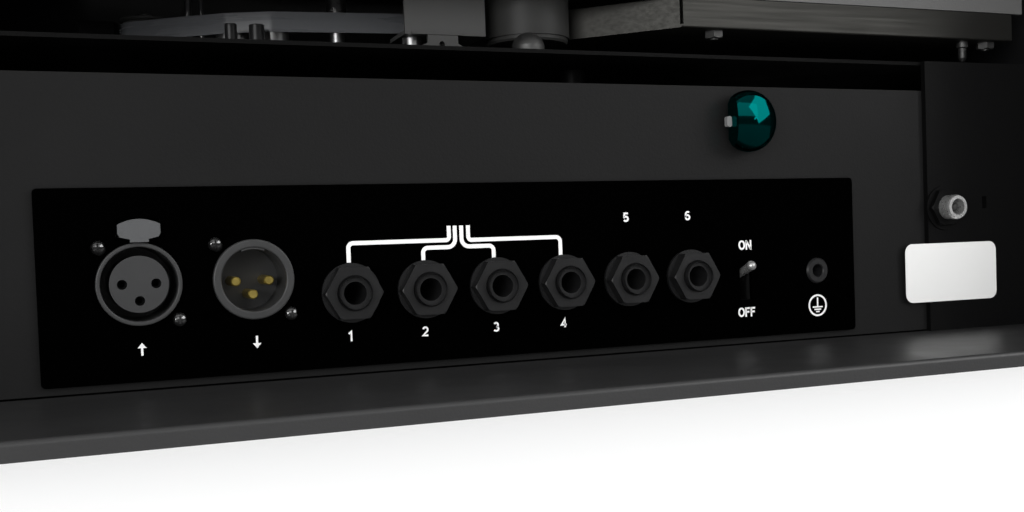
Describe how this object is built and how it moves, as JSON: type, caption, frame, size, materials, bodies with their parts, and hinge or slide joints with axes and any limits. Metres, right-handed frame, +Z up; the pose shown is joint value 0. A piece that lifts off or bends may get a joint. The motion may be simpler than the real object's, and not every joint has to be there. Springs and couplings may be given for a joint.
{
  "type": "tape echo unit",
  "caption": "Rack-mounted tape echo with a tape transport under a hinged lid, front controls and a recessed rear connector panel",
  "frame": {"origin": "bottom centre of the whole unit, on the surface that it stands on", "axes": "+Z up, +X to the right seen from the front, the front panel faces -Y, the connector panel faces +Y"},
  "size_m": [0.4826, 0.347, 0.177],
  "materials": {
    "black_steel": "satin black powder coat",
    "cover_grey": "satin grey paint",
    "panel_grey": "satin dark grey paint",
    "gloss_black": "gloss black print",
    "tray_metal": "warm nickel plate",
    "steel": "bright steel",
    "zinc": "zinc plate",
    "shell_grey": "grey moulded shell",
    "black_plastic": "black moulded plastic",
    "gold": "gold plate",
    "teal": "teal anodised, polished",
    "tape": "grey magnetic tape",
    "rubber": "black rubber",
    "board": "green circuit board",
    "glass": "clear lens",
    "chrome": "chrome plate",
    "brass": "sintered bronze"
  },
  "bodies": {
    "chassis": {"capstan_bearing": "brass", "circuit_boards": "board", "connector_screws": "black_steel", "deck_pillars": "black_steel", "deck_plate": "black_steel", "drive_belt": "rubber", "drive_motor": "zinc", "earth_socket": "black_plastic", "floor_pan": "black_steel", "front_panel": "black_steel", "guide_posts": "steel", "head_bridge": "zinc", "head_shield": "zinc", "input_insert": "shell_grey", "input_shell": "shell_grey", "jack_bodies": "black_plastic", "jack_nuts": "black_plastic", "jack_plate": "gloss_black", "lid_hinge": "zinc", "meter_case": "black_plastic", "meter_lens": "glass", "output_pins": "gold", "output_shell": "shell_grey", "pinch_spring": "steel", "potentiometers": "zinc", "power_inlet": "steel", "power_inlet_nut": "black_steel", "power_panel": "black_steel", "rear_panel": "panel_grey", "side_wall_left": "black_steel", "side_wall_right": "black_steel", "spring_tank": "zinc", "switch_bodies": "black_plastic", "tape_heads": "steel", "tape_loop": "tape", "tape_tray": "tray_metal", "top_cover": "cover_grey", "tray_nuts": "zinc"},
    "latch": {"input_latch": "shell_grey"},
    "stop_lever": {"stop_switch_lever": "chrome"},
    "rear_control": {"rear_knob": "teal"},
    "lid": {"tape_lid": "cover_grey"},
    "drum": {"idler_drum": "steel"},
    "roller_rear": {"corner_roller_rear": "steel"},
    "roller_front": {"corner_roller_front": "steel"},
    "capstan": {"capstan_shaft": "steel", "flywheel": "zinc"},
    "pulley": {"motor_pulley": "brass"},
    "arm": {"pinch_arm": "zinc"},
    "pinch": {"pinch_roller": "rubber"},
    "needle": {"meter_needle": "black_plastic"},
    "power_lever": {"power_switch_lever": "chrome"},
    "input_control": {"input_knob": "teal"},
    "bass_control": {"bass_knob": "teal"},
    "treble_control": {"treble_knob": "teal"},
    "reverb_control": {"reverb_knob": "teal"},
    "rate_control": {"rate_knob": "teal"},
    "intensity_control": {"intensity_knob": "teal"},
    "echo_control": {"echo_knob": "teal"},
    "selector_control": {"selector_knob": "teal"}
  },
  "joints": [
    {"name": "latch_press", "type": "slide", "parent": "chassis", "child": "latch", "axis": [0, -1, 0], "range_m": [0, 0.002], "stiffness_N_per_m": 400, "springref_m": -0.001},
    {"name": "stop_switch_tilt", "type": "hinge", "parent": "chassis", "child": "stop_lever", "pos_m": [-0.0842, 0.094, 0.02525], "axis": [1, 0, 0], "range_deg": [-41, 0]},
    {"name": "rear_control_turn", "type": "hinge", "parent": "chassis", "child": "rear_control", "pos_m": [-0.08475, 0.1026, 0.0767], "axis": [0, 1, 0], "range_deg": [-210, 60]},
    {"name": "lid_open", "type": "hinge", "parent": "chassis", "child": "lid", "pos_m": [0, 0.11, 0.1736], "axis": [-1, 0, 0], "range_deg": [0, 95]},
    {"name": "capstan_spin", "type": "hinge", "parent": "chassis", "child": "capstan", "pos_m": [0.0975, -0.042, 0.09], "axis": [0, 0, 1], "continuous": true},
    {"name": "motor_spin", "type": "hinge", "parent": "chassis", "child": "pulley", "pos_m": [0.165, -0.042, 0.09], "axis": [0, 0, 1], "continuous": true},
    {"name": "drum_spin", "type": "hinge", "parent": "chassis", "child": "drum", "pos_m": [-0.0215, 0.0766, 0.11], "axis": [0, 0, 1], "continuous": true},
    {"name": "roller_rear_spin", "type": "hinge", "parent": "chassis", "child": "roller_rear", "pos_m": [0.093, 0.02656, 0.11], "axis": [0, 0, 1], "continuous": true},
    {"name": "roller_front_spin", "type": "hinge", "parent": "chassis", "child": "roller_front", "pos_m": [0.093, -0.064, 0.11], "axis": [0, 0, 1], "continuous": true},
    {"name": "pinch_arm_swing", "type": "hinge", "parent": "chassis", "child": "arm", "pos_m": [0.13, -0.07, 0.104], "axis": [0, 0, 1], "range_deg": [-12, 0], "stiffness_Nm_per_rad": 0.2, "springref_deg": 5.73},
    {"name": "pinch_spin", "type": "hinge", "parent": "arm", "child": "pinch", "pos_m": [0.1105, -0.042, 0.11], "axis": [0, 0, 1], "continuous": true},
    {"name": "needle_swing", "type": "hinge", "parent": "chassis", "child": "needle", "pos_m": [-0.145, -0.1525, 0.105], "axis": [0, 1, 0], "range_deg": [0, 90], "stiffness_Nm_per_rad": 0.0002},
    {"name": "power_switch_tilt", "type": "hinge", "parent": "chassis", "child": "power_lever", "pos_m": [-0.196, -0.1555, 0.044], "axis": [1, 0, 0], "range_deg": [-24, 0]},
    {"name": "input_control_turn", "type": "hinge", "parent": "chassis", "child": "input_control", "pos_m": [-0.145, -0.1565, 0.044], "axis": [0, -1, 0], "range_deg": [-150, 150]},
    {"name": "bass_control_turn", "type": "hinge", "parent": "chassis", "child": "bass_control", "pos_m": [-0.052, -0.1565, 0.128], "axis": [0, -1, 0], "range_deg": [-150, 150]},
    {"name": "treble_control_turn", "type": "hinge", "parent": "chassis", "child": "treble_control", "pos_m": [0.004, -0.1565, 0.128], "axis": [0, -1, 0], "range_deg": [-150, 150]},
    {"name": "reverb_control_turn", "type": "hinge", "parent": "chassis", "child": "reverb_control", "pos_m": [0.06, -0.1565, 0.128], "axis": [0, -1, 0], "range_deg": [-150, 150]},
    {"name": "rate_control_turn", "type": "hinge", "parent": "chassis", "child": "rate_control", "pos_m": [-0.052, -0.1565, 0.05], "axis": [0, -1, 0], "range_deg": [-150, 150]},
    {"name": "intensity_control_turn", "type": "hinge", "parent": "chassis", "child": "intensity_control", "pos_m": [0.004, -0.1565, 0.05], "axis": [0, -1, 0], "range_deg": [-150, 150]},
    {"name": "echo_control_turn", "type": "hinge", "parent": "chassis", "child": "echo_control", "pos_m": [0.06, -0.1565, 0.05], "axis": [0, -1, 0], "range_deg": [-150, 150]},
    {"name": "selector_control_turn", "type": "hinge", "parent": "chassis", "child": "selector_control", "pos_m": [0.15, -0.1565, 0.086], "axis": [0, -1, 0], "range_deg": [-150, 150]}
  ],
  "couplings": [
    {"joint": "motor_spin", "follows": "capstan_spin", "ratio": 4.4091},
    {"joint": "drum_spin", "follows": "capstan_spin", "ratio": -0.22581},
    {"joint": "roller_rear_spin", "follows": "capstan_spin", "ratio": 0.41176},
    {"joint": "roller_front_spin", "follows": "capstan_spin", "ratio": 0.41176},
    {"joint": "pinch_spin", "follows": "capstan_spin", "ratio": -0.34426}
  ]
}
